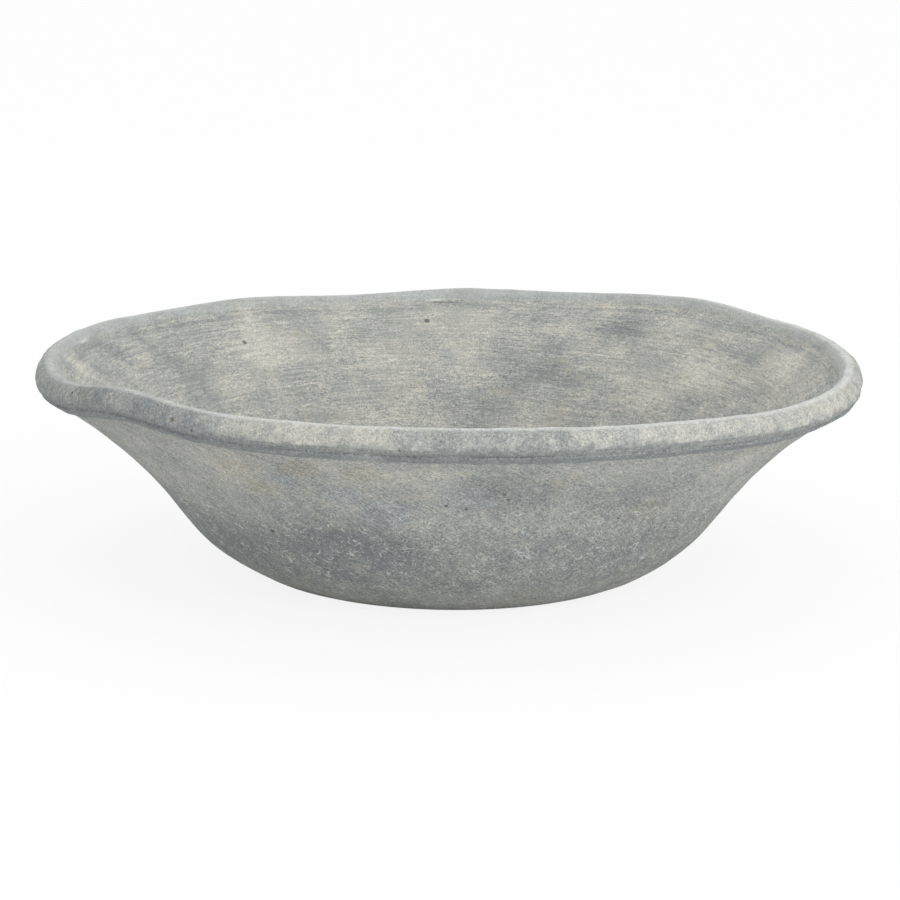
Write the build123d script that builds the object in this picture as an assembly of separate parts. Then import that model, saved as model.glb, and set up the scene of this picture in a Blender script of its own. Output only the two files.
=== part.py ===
from build123d import *
import math
import os

# Terracotta bowl planter: a wide shallow bowl on a flat foot, with a rolled rim that a hand has pinched
# into waves. Millimetres, +Z up. The origin is the centre of the foot, on the surface it stands on, and
# the side that faces the viewer is -Y. Bearings are degrees round +Z from +X.

# Overall sizes
rim_radius = 280.0           # out to the fullest part of the rolled rim
height = 148.3               # from the resting plane to the middle height of the rim's crest
foot_radius = 131.0          # flat round foot

# Clay thickness
wall_thickness = 14.0
slab_thickness = 16.0        # floor of the bowl, also the height of the joint between slab and wall

# Side of the bowl: one cubic curve, given by how it leaves the foot and how it meets the rim
foot_slope = 24.0            # degrees above level at the foot
foot_reach = 72.0            # how far the curve holds that slope
rim_slope = 37.0             # degrees above level under the rim
rim_reach = 113.0

# Drain hole through the middle of the slab
drain_radius = 12.0
drain_lip = 1.5              # bevel at both ends of the hole

# Rolled rim, measured on its section
roll_crest_in = 9.4          # the crest lies this far inside the fullest part
roll_belly_drop = 11.0       # the fullest part lies this far below the crest
roll_under_in = 1.9          # the roll tucks in under its belly by this much
roll_under_drop = 14.4       # and ends this far below the crest
roll_groove_slope = 45.0     # degrees above level at which it rises out of the groove inside
roll_under_slope = 45.0      # degrees above level at which it comes back in under the belly
seat_in = 12.0               # outer edge of the wall's end, inside the fullest part
seat_drop = 20.5             # and below the crest

# Strip of clay smeared under the roll
band_lap = 3.0               # how far it laps down over the wall
band_thickness = 1.8         # at its top
band_edge_thickness = 1.1    # at its lower edge
band_set_back = 2.0          # its top stops this far inside the roll's lower edge

# Slow waves in the rim's height and in its plan: how many go round, how high, bearing of one crest
height_waves = [(2, 2.6, 57.0), (3, 1.5, 32.0), (4, 0.7, 48.0), (5, 0.6, 9.0), (6, 0.8, 47.0), (8, 0.8, 39.0)]
plan_waves = [(2, 0.5, 28.0), (3, 1.2, 60.0)]

# Single pinches of thumb and finger: bearing, lift, half the length of rim that it moves in degrees
pinches = [
    (16.0, 2.0, 18.0),
    (32.0, -1.2, 18.0),
    (53.0, 1.4, 20.0),
    (90.0, 0.9, 25.0),
    (108.0, -1.2, 21.0),
    (121.0, 1.5, 18.0),
    (168.0, -0.8, 20.0),
    (205.0, -2.0, 20.0),
    (221.0, 2.0, 16.0),
    (240.0, -1.3, 18.0),
    (262.0, -1.0, 21.0),
    (330.0, 1.5, 18.0),
]
wave_fade = 3.0              # power by which the waves die away down the wall

# How finely the wavy surfaces are drawn
ring_points = 72             # points round each ring
wall_rings = 7               # rings up each side of the wall
roll_rings = 13              # rings over the roll


def waves(terms, bearing):
    """Sum of the slow waves at a bearing in degrees."""
    return sum(high * math.cos(math.radians(count * (bearing - crest))) for count, high, crest in terms)


def pinch(bearing, centre, lift, reach):
    """One raised or pressed stretch of rim, smooth at both ends."""
    away = abs((bearing - centre + 180.0) % 360.0 - 180.0)
    if away >= reach:
        return 0.0
    return lift * 0.5 * (1.0 + math.cos(math.pi * away / reach))


def rim_lift(bearing):
    """How far the rim stands above its middle height."""
    return waves(height_waves, bearing) + sum(pinch(bearing, *each) for each in pinches)


def rim_sway(bearing):
    """How far the rim stands outside a true circle."""
    return waves(plan_waves, bearing)


def seat_point():
    """Outer edge of the wall's end, where the roll sits on it: radius and height."""
    return rim_radius - seat_in, height - seat_drop


def side_controls():
    """The four control points of the side's curve."""
    top_radius, top_height = seat_point()
    foot_turn = math.radians(foot_slope)
    rim_turn = math.radians(rim_slope)
    return [
        (foot_radius, 0.0),
        (foot_radius + foot_reach * math.cos(foot_turn), foot_reach * math.sin(foot_turn)),
        (top_radius - rim_reach * math.cos(rim_turn), top_height - rim_reach * math.sin(rim_turn)),
        (top_radius, top_height),
    ]


def mix(a, b, share):
    """Point that lies a share of the way from a to b."""
    return tuple(p + share * (q - p) for p, q in zip(a, b))


def first_part(controls, share):
    """Control points of the first share of a cubic curve."""
    rows = [controls]
    while len(rows[-1]) > 1:
        rows.append([mix(a, b, share) for a, b in zip(rows[-1], rows[-1][1:])])
    return [row[0] for row in rows]


def side_point(share, inward=0.0):
    """Point of the side's curve, moved into the clay by a thickness."""
    corner = side_controls()
    ahead = [mix(a, b, share) for a, b in zip(corner, corner[1:])]
    start, end = (mix(a, b, share) for a, b in zip(ahead, ahead[1:]))
    radius, level = mix(start, end, share)
    along = math.dist(start, end)
    return (
        radius - inward * (end[1] - start[1]) / along,
        level + inward * (end[0] - start[0]) / along,
    )


def share_at_level(level, inward=0.0):
    """Share of the side's curve at which it passes a height, by halving."""
    low, high = 0.0, 1.0
    for _ in range(50):
        middle = (low + high) / 2.0
        if side_point(middle, inward)[1] < level:
            low = middle
        else:
            high = middle
    return (low + high) / 2.0


def ring(point, weight=1.0):
    """Closed wavy ring through a section point, with its share of the rim's waves."""
    radius, level = point
    spots = []
    for step in range(ring_points):
        bearing = 360.0 * step / ring_points
        turn = math.radians(bearing)
        out = radius + weight * rim_sway(bearing)
        spots.append((out * math.cos(turn), out * math.sin(turn), level + weight * rim_lift(bearing)))
    return Wire([Edge.make_spline(spots, periodic=True)])


def skin(*rings):
    """One smooth face stretched through a row of rings."""
    return Shell.make_loft(rings).faces()


def strips(*rings):
    """Straight strips from each ring to the next."""
    faces = []
    for lower, upper in zip(rings, rings[1:]):
        faces.extend(Shell.make_loft([lower, upper], ruled=True).faces())
    return faces


def close_up(faces):
    """Solid inside a closed set of faces, sewn along the rings that they share."""
    return Solid(Shell(faces))


# Places on the section that pieces share
seam_outer = share_at_level(slab_thickness)
seam_inner = share_at_level(slab_thickness, wall_thickness)
lap = share_at_level(seat_point()[1] - band_lap * math.sin(math.radians(rim_slope)))
seat_outer = side_point(1.0)
seat_inner = side_point(1.0, wall_thickness)
lap_edge = side_point(lap)
roll_edge = (rim_radius - roll_under_in, height - roll_under_drop)
band_top = mix(roll_edge, seat_outer, band_set_back / math.dist(roll_edge, seat_outer))


def wave_weight(share, first):
    """Share of the rim's waves at a place on the side, from none at the slab to all at the roll's seat."""
    return ((share - first) / (1.0 - first)) ** wave_fade


def side_rings(first, last, inward):
    """Rings up the side of the bowl, from the joint with the slab."""
    shares = [first + (last - first) * step / (wall_rings - 1) for step in range(wall_rings)]
    return [ring(side_point(share, inward), wave_weight(share, first)) for share in shares]


def on_drain(edge):
    """True for the two rims of the drain hole."""
    return math.isclose(edge.radius, drain_radius)


def make_base_slab():
    """Flat disc of clay with the drain hole; its edge is the lowest stretch of the bowl's side."""
    with BuildPart() as slab:
        with BuildSketch(Plane.XZ):
            with BuildLine():
                Bezier(*first_part(side_controls(), seam_outer))
                Polyline(
                    side_point(seam_outer),
                    (drain_radius, slab_thickness),
                    (drain_radius, 0.0),
                    (foot_radius, 0.0),
                )
            make_face()
        revolve(axis=Axis.Z)
        chamfer(slab.edges().filter_by(GeomType.CIRCLE).filter_by(on_drain), drain_lip)
    return slab.part.solid()


def make_bowl_wall():
    """Flaring side of the bowl, from the slab to the seat of the roll."""
    outer = side_rings(seam_outer, lap, 0.0)
    inner = side_rings(seam_inner, 1.0, wall_thickness)
    foot = Face(outer[0], [inner[0]])
    end = strips(outer[-1], ring(seat_outer), inner[-1])
    return close_up([*skin(*outer), *skin(*inner), foot, *end])


def slanted(slope):
    """Direction out and up at a slope in degrees above level."""
    turn = math.radians(slope)
    return math.cos(turn), math.sin(turn)


def roll_section():
    """Rings over the roll, from the groove inside, over the crest and the belly, to its lower edge."""
    crest = (rim_radius - roll_crest_in, height)
    belly = (rim_radius, height - roll_belly_drop)
    headings = (roll_groove_slope, 0.0, -90.0, 180.0 + roll_under_slope)
    curve = Edge.make_spline(
        [seat_inner, crest, belly, roll_edge],
        tangents=[slanted(heading) for heading in headings],
    )
    spots = [curve @ (step / (roll_rings - 1)) for step in range(roll_rings)]
    return [ring((spot.X, spot.Y)) for spot in spots]


def make_rim_roll():
    """Thick coil of clay that sits on the wall's end and stands out all round."""
    over = roll_section()
    under = strips(over[-1], ring(band_top), ring(seat_outer), over[0])
    return close_up([*skin(*over), *under])


def below(point, slope, distance):
    """Point at a distance square to a surface of the given slope, on its outer side."""
    along = slanted(slope)
    return point[0] + distance * along[1], point[1] - distance * along[0]


def make_rim_band():
    """Strip smeared along the joint under the roll."""
    under_slope = math.degrees(math.atan2(band_top[1] - seat_outer[1], band_top[0] - seat_outer[0]))
    top_front = below(band_top, under_slope, band_thickness)
    lap_front = below(lap_edge, rim_slope, band_edge_thickness)
    low = wave_weight(lap, seam_outer)
    back = [ring(band_top), ring(seat_outer), ring(lap_edge, low)]
    front = [ring(lap_front, low), ring(top_front)]
    return close_up(strips(*back, *front, back[0]))


pieces = {
    "base_slab": make_base_slab(),
    "bowl_wall": make_bowl_wall(),
    "rim_roll": make_rim_roll(),
    "rim_band": make_rim_band(),
}

os.makedirs("parts", exist_ok=True)
for name, piece in pieces.items():
    export_step(piece, f"parts/{name}.step")
    size = piece.bounding_box().size
    print(f"{name}: {piece.volume / 1000.0:.1f} cm3, {size.X:.1f} x {size.Y:.1f} x {size.Z:.1f} mm")
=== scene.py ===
# %% [markdown]
# # A wide clay bowl with a pinched rim
# The real object is one thick-walled bowl of grey washed terracotta: a flat slab with a drain hole, a wall
# that flares out, a coil of clay rolled over its end, and a strip smeared along the joint under that coil.
# The imported CAD model gives the true sizes, so the script loads it first, and when each piece is made it
# prints how far the piece reaches past the CAD part it replaces. Everything is in metres, with the origin
# under the middle of the foot and the viewer at -Y.

# %% Load the imported frame
import math

import bmesh
import bpy
from mathutils import Matrix, Vector


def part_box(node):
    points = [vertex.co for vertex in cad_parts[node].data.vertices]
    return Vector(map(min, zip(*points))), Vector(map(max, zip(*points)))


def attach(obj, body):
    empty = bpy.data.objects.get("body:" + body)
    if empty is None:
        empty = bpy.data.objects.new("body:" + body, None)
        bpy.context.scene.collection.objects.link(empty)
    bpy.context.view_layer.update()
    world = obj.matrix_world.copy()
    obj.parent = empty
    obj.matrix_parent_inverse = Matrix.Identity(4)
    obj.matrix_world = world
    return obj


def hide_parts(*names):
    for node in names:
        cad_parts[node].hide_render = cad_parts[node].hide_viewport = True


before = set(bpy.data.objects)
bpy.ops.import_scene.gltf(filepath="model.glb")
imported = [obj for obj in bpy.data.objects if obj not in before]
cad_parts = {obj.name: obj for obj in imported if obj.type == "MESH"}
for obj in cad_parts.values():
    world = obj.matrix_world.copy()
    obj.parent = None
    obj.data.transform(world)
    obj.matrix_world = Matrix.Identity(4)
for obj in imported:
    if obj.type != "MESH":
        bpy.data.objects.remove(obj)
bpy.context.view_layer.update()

# %% [markdown]
# ## Sizes of the bowl's section
# A bowl is a section turned round an axis. The section here is measured in millimetres, because clay
# thicknesses and finger marks are easy to picture that way, and is divided by 1000 when the mesh is made.
# The numbers repeat those of the CAD model, so each piece made here fills the same space. Only the smeared
# strip laps a little less far down the wall, and its edge is ragged.

# %% Section sizes in millimetres
MM = 0.001
rim_radius = 280.0
rim_height = 148.3
foot_radius = 131.0
wall_thickness = 14.0
slab_thickness = 16.0
drain_radius = 12.0
drain_lip = 1.5
foot_slope = 24.0
foot_reach = 72.0
rim_slope = 37.0
rim_reach = 113.0
seat_outer = (268.0, 127.8)
roll_crest = (270.6, rim_height)
roll_belly = (rim_radius, 137.3)
roll_edge = (278.1, 133.9)
band_top = (276.4, 132.9)
band_lap = 1.3
wave_fade = 3.0
print("section", rim_radius * 2, "mm across,", rim_height, "mm high")

# %% [markdown]
# ## The side's curve
# The outside of the wall is one cubic curve from the foot to the rim, which is how a thrower's rib leaves
# it. A short function gives any point on it, moved into the clay by a thickness, so the same function also
# makes the inside. It gives the outward direction too, because the surface marks are pushed that way later.


# %% The side's curve and its outward direction
def slanted(slope):
    """Direction out and up at a slope in degrees above level."""
    turn = math.radians(slope)
    return math.cos(turn), math.sin(turn)


def between(start, end, share):
    """Point that lies a share of the way from start to end."""
    return tuple(a + share * (b - a) for a, b in zip(start, end))


def moved(place, way, distance):
    """Place moved along a direction."""
    return place[0] + distance * way[0], place[1] + distance * way[1]


def curve_point(corners, share):
    """Point and direction on a curve given by its control points."""
    rows = [corners]
    while len(rows[-1]) > 1:
        rows.append([between(a, b, share) for a, b in zip(rows[-1], rows[-1][1:])])
    start, end = rows[-2]
    length = math.dist(start, end)
    return rows[-1][0], ((end[0] - start[0]) / length, (end[1] - start[1]) / length)


foot_way = slanted(foot_slope)
rim_way = slanted(rim_slope)
side_corners = [
    (foot_radius, 0.0),
    moved((foot_radius, 0.0), foot_way, foot_reach),
    moved(seat_outer, rim_way, -rim_reach),
    seat_outer,
]


def side_point(share, inward=0.0):
    """Point of the side's curve, moved into the clay by a thickness, and the direction up the side."""
    place, way = curve_point(side_corners, share)
    return moved(place, (-way[1], way[0]), inward), way


def share_at_level(level, inward=0.0):
    """Share of the side's curve at which it passes a height, by halving."""
    low, high = 0.0, 1.0
    for _ in range(40):
        middle = (low + high) / 2.0
        if side_point(middle, inward)[0][1] < level:
            low = middle
        else:
            high = middle
    return (low + high) / 2.0


seam_outer = share_at_level(slab_thickness)
seam_inner = share_at_level(slab_thickness, wall_thickness)
seat_inner = side_point(1.0, wall_thickness)[0]
print("seam outside", side_point(seam_outer)[0], "seat inside", seat_inner)

# %% [markdown]
# ## Spots along a section
# Each piece is a closed loop of spots. A spot knows where it is, how much of the rim's waves it takes, which
# way is out of the clay, and how strongly the different hand marks show there. Faces that lie against
# another piece take none of the marks, so that the pieces still fit. The loop goes once round the section,
# and its first spot comes again at the end to close it.


# %% Spots and stretches
def spot(place, give, out=(0.0, 0.0), marks=0.0, skin=0.0, along=0.0, **more):
    """One spot of a section: its place in mm and its weights."""
    made = {"radius": place[0], "level": place[1], "give": give, "out_r": out[0], "out_z": out[1]}
    made.update(marks=marks, skin=skin, along=along, rings=0.0, finger=0.0, groove=0.0, ragged=0.0)
    made.update(more)
    return made


def ease(low, high, value):
    """Smooth step from 0 at low to 1 at high."""
    share = min(max((value - low) / (high - low), 0.0), 1.0)
    return share * share * (3.0 - 2.0 * share)


def closed(spots):
    """Spots with the first one again at the end, and the length along the section in each, in metres."""
    spots.append(dict(spots[0]))
    run = 0.0
    last = spots[0]
    for each in spots:
        run += math.dist((last["radius"], last["level"]), (each["radius"], each["level"])) * MM
        each["along"] = run
        last = each
    return spots


def straight(start, end, count, give_start, give_end, **weights):
    """Spots on a straight line, without its two ends."""
    made = []
    for step in range(1, count):
        share = step / count
        give = give_start + share * (give_end - give_start)
        made.append(spot(between(start, end, share), give, **weights))
    return made


# %% [markdown]
# ## The wall's section
# The wall thickens nowhere, so its inside is the outside moved in by the wall's thickness. The rim's waves
# die away down the wall, because a rim is pinched last, when the lower wall is already firm. A sponge
# rounds the corner between wall and floor, so a small fillet takes the place of the sharp corner there.

# %% Wall section
fillet_wall_level = 27.0
fillet_floor_radius = 117.0
wall_rows = 84
wall_groove_reach = 12.0


def wave_weight(share, first):
    """Share of the rim's waves on the side, from none at the slab to all at the roll's seat."""
    return max((share - first) / (1.0 - first), 0.0) ** wave_fade


def out_of(way):
    """Outward direction beside a direction of travel up the outside or down the inside."""
    return way[1], -way[0]


fillet_share = share_at_level(fillet_wall_level, wall_thickness)
fillet_top, fillet_way = side_point(fillet_share, wall_thickness)
fillet_drop = fillet_top[1] - slab_thickness
floor_corner = (fillet_top[0] - fillet_drop * fillet_way[0] / fillet_way[1], slab_thickness)
fillet_corners = [fillet_top, floor_corner, (fillet_floor_radius, slab_thickness)]
fillet_split = 0.5      # the wall has the first half of the fillet, the slab the rest
fillet_rows = 8
joint_rows = 6          # spots across each hidden joint face
fillet_seam = curve_point(fillet_corners, fillet_split)[0]


def outer_spots(first, last, count, marks_at):
    """Spots up the outside of the side's curve, both ends included."""
    made = []
    for step in range(count + 1):
        share = first + (last - first) * step / count
        place, way = side_point(share)
        give = wave_weight(share, seam_outer)
        made.append(spot(place, give, out_of(way), marks=marks_at(share)))
    return made


def fillet_spots(first, last):
    """Spots on the fillet between the wall's inside and the floor."""
    made = []
    for step in range(fillet_rows + 1):
        share = first + (last - first) * step / fillet_rows
        place, way = curve_point(fillet_corners, share)
        level = max(place[1], slab_thickness)
        give = wave_weight(share_at_level(level, wall_thickness), seam_inner)
        made.append(spot(place, give, out_of(way), marks=1.0, skin=1.0, rings=1.0))
    return made


def wall_section():
    """Closed section of the wall: outside, end under the roll, inside, fillet, seat on the slab."""
    spots = outer_spots(seam_outer, 1.0, wall_rows, lambda share: 1.0 - ease(0.985, 1.0, share))
    spots += straight(seat_outer, seat_inner, joint_rows, 1.0, 1.0)
    for step in range(wall_rows + 1):
        share = 1.0 + (fillet_share - 1.0) * step / wall_rows
        place, way = side_point(share, wall_thickness)
        near_roll = 1.0 - ease(0.0, wall_groove_reach, math.dist(place, seat_inner))
        give = wave_weight(share, seam_inner)
        weights = {"marks": 1.0, "skin": 1.0, "rings": 1.0 - near_roll, "groove": near_roll}
        spots.append(spot(place, give, (-way[1], way[0]), **weights))
    spots += fillet_spots(0.0, fillet_split)[1:]
    spots += straight(fillet_seam, side_point(seam_outer)[0], joint_rows, 0.0, 0.0)
    return closed(spots)


print("wall section", len(wall_section()), "spots")

# %% [markdown]
# ## The slab's section
# The slab is a flat disc with a drain hole whose two lips are wiped round with a finger. Its edge carries on
# the curve of the wall without a step, and the corner on which the bowl stands is worn a little round.

# %% Slab section
foot_wear = 1.6
slab_rows = 16
floor_rows = 34
lip_rows = 8
underside_rows = 14


def slab_section():
    """Closed section of the slab: edge, fillet, floor, drain hole, underside."""
    worn = share_at_level(foot_wear)
    spots = outer_spots(worn, seam_outer, slab_rows, lambda share: ease(worn, worn + 0.05, share))
    spots += straight(side_point(seam_outer)[0], fillet_seam, joint_rows, 0.0, 0.0)
    spots += fillet_spots(fillet_split, 1.0)
    lip_radius = drain_radius + drain_lip
    weights = {"out": (0.0, 1.0), "marks": 1.0, "skin": 1.0}
    floor_edge = (fillet_floor_radius, slab_thickness)
    spots += straight(floor_edge, (lip_radius, slab_thickness), floor_rows, 0.0, 0.0, **weights)
    middle = slab_thickness / 2.0
    for step in range(lip_rows + 1):
        turn = math.pi * step / lip_rows
        side = 1.0 if 2 * step <= lip_rows else -1.0
        level = middle + side * (middle - drain_lip) + drain_lip * math.cos(turn)
        place = (lip_radius - drain_lip * math.sin(turn), level)
        marks = 0.3 * (1.0 - ease(lip_rows / 2.0, lip_rows, step))
        spots.append(spot(place, 0.0, (-math.sin(turn), math.cos(turn)), marks=marks, skin=1.0))
    flat_radius = foot_radius - foot_wear
    spots += straight((lip_radius, 0.0), (flat_radius, 0.0), underside_rows, 0.0, 0.0)
    for degrees in (-90.0, -75.0, -60.0, -45.0, -30.0):
        turn = math.radians(degrees)
        place = (flat_radius + foot_wear * math.cos(turn) * 1.4, foot_wear * (1.0 + math.sin(turn)))
        spots.append(spot(place, 0.0))
    return closed(spots)


print("slab section", len(slab_section()), "spots")

# %% [markdown]
# ## The rolled rim's section
# The rim is a coil of clay laid on the wall's end and rolled over outward. Three short curves follow it from
# the groove inside, over the crest, round the belly and in underneath. The belly takes finger marks, which
# fade out towards the groove and the underside, where the roll meets its neighbours.

# %% Roll section
roll_rows = (26, 26, 10)
roll_groove_reach = 8.0


def arc_spots(start, start_way, end, end_way, pull):
    """Control points of a curve between two places with given directions."""
    reach = math.dist(start, end) * pull
    return [start, moved(start, start_way, reach), moved(end, end_way, -reach), end]


roll_curves = [
    arc_spots(seat_inner, slanted(rim_slope + 1.0), roll_crest, slanted(0.0), 0.40),
    arc_spots(roll_crest, slanted(0.0), roll_belly, slanted(-90.0), 0.39),
    arc_spots(roll_belly, slanted(-90.0), roll_edge, slanted(225.0), 0.36),
]


def roll_section():
    """Closed section of the roll, from its lower edge over the crest to the groove and back underneath."""
    over = []
    for number, (corners, rows) in enumerate(zip(roll_curves, roll_rows)):
        for step in range(0 if number == 0 else 1, rows + 1):
            share = step / rows
            place, way = curve_point(corners, share)
            turned = (number + share) / len(roll_curves)
            finger = 0.15 + 0.85 * ease(0.36, 0.60, turned)
            finger = finger * ease(0.04, 0.2, turned) * (1.0 - 0.6 * ease(0.93, 1.0, turned))
            near_wall = 1.0 - ease(0.0, roll_groove_reach, math.dist(place, seat_inner))
            weights = {"marks": 1.0, "skin": turned, "finger": finger, "groove": near_wall}
            over.append(spot(place, 1.0, (-way[1], way[0]), **weights))
    spots = list(reversed(over))
    spots += straight(seat_inner, seat_outer, joint_rows, 1.0, 1.0)
    spots.append(spot(seat_outer, 1.0))
    spots += straight(seat_outer, band_top, 4, 1.0, 1.0)
    spots.append(spot(band_top, 1.0))
    spots += straight(band_top, roll_edge, 2, 1.0, 1.0, skin=1.0)
    return closed(spots)


print("roll section", len(roll_section()), "spots")

# %% [markdown]
# ## The smeared strip's section
# Under the roll a thin strip of soft clay was smeared over the joint. It is thickest under the roll and thins
# out down the wall, where its edge is ragged. The spots near that edge get a weight for raggedness, which
# slides them up and down the wall.

# %% Band section
band_thickness = 1.8
band_edge = 0.9
band_rows = 20
band_sag = 0.5


def band_section():
    """Closed section of the strip: lower edge, front, top, back."""
    lap_share = share_at_level(seat_outer[1] - band_lap * rim_way[1])
    lap_place, lap_way = side_point(lap_share)
    lap_give = wave_weight(lap_share, seam_outer)
    under = math.atan2(band_top[1] - seat_outer[1], band_top[0] - seat_outer[0])
    under_out = (math.sin(under), -math.cos(under))
    lap_out = out_of(lap_way)
    front_low = moved(lap_place, lap_out, band_edge)
    front_top = moved(band_top, under_out, band_thickness)
    spots = []
    for step in range(band_rows + 1):
        share = step / band_rows
        place = moved(between(front_low, front_top, share), under_out, band_sag * math.sin(math.pi * share))
        give = lap_give + share * (1.0 - lap_give)
        finger = 0.7 * ease(0.05, 0.4, share) * (1.0 - 0.4 * ease(0.75, 1.0, share))
        ragged = 1.0 - ease(0.0, 0.6, share)
        spots.append(spot(place, give, under_out, skin=share, finger=finger, ragged=ragged))
    spots += straight(front_top, band_top, 3, 1.0, 1.0, skin=1.0)
    spots.append(spot(band_top, 1.0, skin=1.0))
    spots += straight(band_top, seat_outer, 4, 1.0, 1.0)
    spots.append(spot(seat_outer, 1.0))
    spots += straight(seat_outer, lap_place, 2, 1.0, lap_give, ragged=0.5)
    spots.append(spot(lap_place, lap_give, ragged=1.0))
    return closed(spots)


print("band section", len(band_section()), "spots")

# %% [markdown]
# ## Wires: sums written as Python
# Both Geometry Nodes and shaders do their sums with Math nodes, and a page of nodes.new and links.new is
# hard to read. A small class wraps one output socket, so that `2.0 * wire + 1.0` adds the two Math nodes by
# itself, and one method adds any other kind of node. The same class serves both kinds of tree.


# %% A wire that can be used in sums
class Wire:
    """One output socket of a node tree."""

    def __init__(self, tree, socket=None):
        self.tree = tree
        self.socket = socket

    @staticmethod
    def find(sockets, key):
        """The socket with a number, an identifier or a name."""
        if isinstance(key, int):
            return sockets[key]
        for socket in sockets:
            if socket.identifier == key:
                return socket
        return next(socket for socket in sockets if socket.name == key and socket.enabled)

    def node(self, kind, settings=None, inputs=None, output=0):
        """Adds a node, sets it up, feeds its inputs, and gives one of its outputs."""
        made = self.tree.nodes.new(kind)
        for name, value in (settings or {}).items():
            if name == "stops":
                self.set_stops(made.color_ramp, value)
            else:
                setattr(made, name, value)
        for key, value in (inputs or {}).items():
            target = self.find(made.inputs, key)
            if isinstance(value, Wire):
                self.tree.links.new(value.socket, target)
            else:
                target.default_value = value
        return Wire(self.tree, self.find(made.outputs, output))

    @staticmethod
    def set_stops(ramp, stops):
        """Sets the stops of a ramp: place and colour."""
        while len(ramp.elements) < len(stops):
            ramp.elements.new(0.5)
        for element, (place, colour) in zip(ramp.elements, stops):
            element.position = place
            element.color = colour

    def math(self, operation, *values):
        """One Math node of this wire and up to two more values."""
        inputs = {number + 1: value for number, value in enumerate(values)}
        inputs[0] = self
        return self.node("ShaderNodeMath", {"operation": operation}, inputs)

    def __add__(self, other):
        return self.math("ADD", other)

    def __radd__(self, other):
        return self.math("ADD", other)

    def __sub__(self, other):
        return self.math("SUBTRACT", other)

    def __rsub__(self, other):
        return self.node("ShaderNodeMath", {"operation": "SUBTRACT"}, {0: other, 1: self})

    def __mul__(self, other):
        return self.math("MULTIPLY", other)

    def __rmul__(self, other):
        return self.math("MULTIPLY", other)

    def __truediv__(self, other):
        return self.math("DIVIDE", other)

    def cut(self, low, high):
        """Smooth step from 0 at low to 1 at high; with low above high it falls instead."""
        if low > high:
            return 1.0 - self.cut(high, low)
        settings = {"interpolation_type": "SMOOTHSTEP"}
        return self.node("ShaderNodeMapRange", settings, {"Value": self, "From Min": low, "From Max": high})

    def vector(self, x, y, z):
        """A vector of three values."""
        return self.node("ShaderNodeCombineXYZ", None, {0: x, 1: y, 2: z})

    def move(self, operation, other, output=0):
        """One Vector Math node of this wire and another vector."""
        return self.node("ShaderNodeVectorMath", {"operation": operation}, {0: self, 1: other}, output)

    def scaled(self, factor):
        """This vector times a number."""
        return self.node("ShaderNodeVectorMath", {"operation": "SCALE"}, {0: self, "Scale": factor})

    def parts(self):
        """The three values of this vector."""
        split = self.node("ShaderNodeSeparateXYZ", None, {0: self}).socket.node
        return [Wire(self.tree, socket) for socket in split.outputs]

    def other(self, name):
        """Another output of the node that this wire comes from."""
        return Wire(self.tree, self.socket.node.outputs[name])

    def end(self, kind):
        """Joins this shader to an output node."""
        self.tree.links.new(self.socket, self.tree.nodes.new(kind).inputs["Surface"])

    def noise(self, size, detail=2.0, roughness=0.5, twist=0.0):
        """Noise round 0, about -1 to 1, with marks of about a size in metres, read at this vector."""
        inputs = {"Vector": self, "Scale": 1.0 / size, "Detail": detail, "Roughness": roughness}
        inputs["Distortion"] = twist
        return (self.node("ShaderNodeTexNoise", None, inputs, "Fac") - 0.5) * 4.0


def cleared(owner):
    """A wire to build with in the emptied node tree of a material or world."""
    owner.use_nodes = True
    owner.node_tree.nodes.clear()
    return Wire(owner.node_tree)


print("wires ready")

# %% [markdown]
# ## The rim's waves
# Fingers have pulled this rim up and pressed it down all the way round. Its height is a sum of slow waves,
# each with a count, a height and the bearing of one crest, and of single pinches. The node tree builds the
# sum in a Python loop over these lists.

# %% Waves and pinches
height_waves = [
    # how many go round, height, bearing of one crest
    (2, 2.6, 57.0),
    (3, 1.5, 32.0),
    (4, 0.7, 48.0),
    (5, 0.6, 9.0),
    (6, 0.8, 47.0),
    (8, 0.8, 39.0),
]
plan_waves = [(2, 0.5, 28.0), (3, 1.2, 60.0)]
pinches = [
    # bearing, lift, half its length in degrees
    (16.0, 2.0, 18.0),
    (32.0, -1.2, 18.0),
    (53.0, 1.4, 20.0),
    (90.0, 0.9, 25.0),
    (108.0, -1.2, 21.0),
    (121.0, 1.5, 18.0),
    (168.0, -0.8, 20.0),
    (205.0, -2.0, 20.0),
    (221.0, 2.0, 16.0),
    (240.0, -1.3, 18.0),
    (262.0, -1.0, 21.0),
    (330.0, 1.5, 18.0),
]


def wave_sum(bearing, terms):
    """Sum of slow waves at a bearing in radians."""
    total = 0.0
    for count, high, crest in terms:
        total = (bearing * count - math.radians(count * crest)).math("COSINE") * high + total
    return total


def pinch_sum(bearing):
    """Sum of the single pinches at a bearing in radians."""
    total = 0.0
    for centre, lift, reach in pinches:
        away = (bearing - math.radians(centre)).math("WRAP", math.pi, -math.pi).math("ABSOLUTE")
        share = (away / math.radians(reach)).math("MINIMUM", 1.0)
        total = ((share * math.pi).math("COSINE") + 1.0) * (0.5 * lift) + total
    return total


print("waves", len(height_waves) + len(plan_waves), "pinches", len(pinches))
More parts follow.
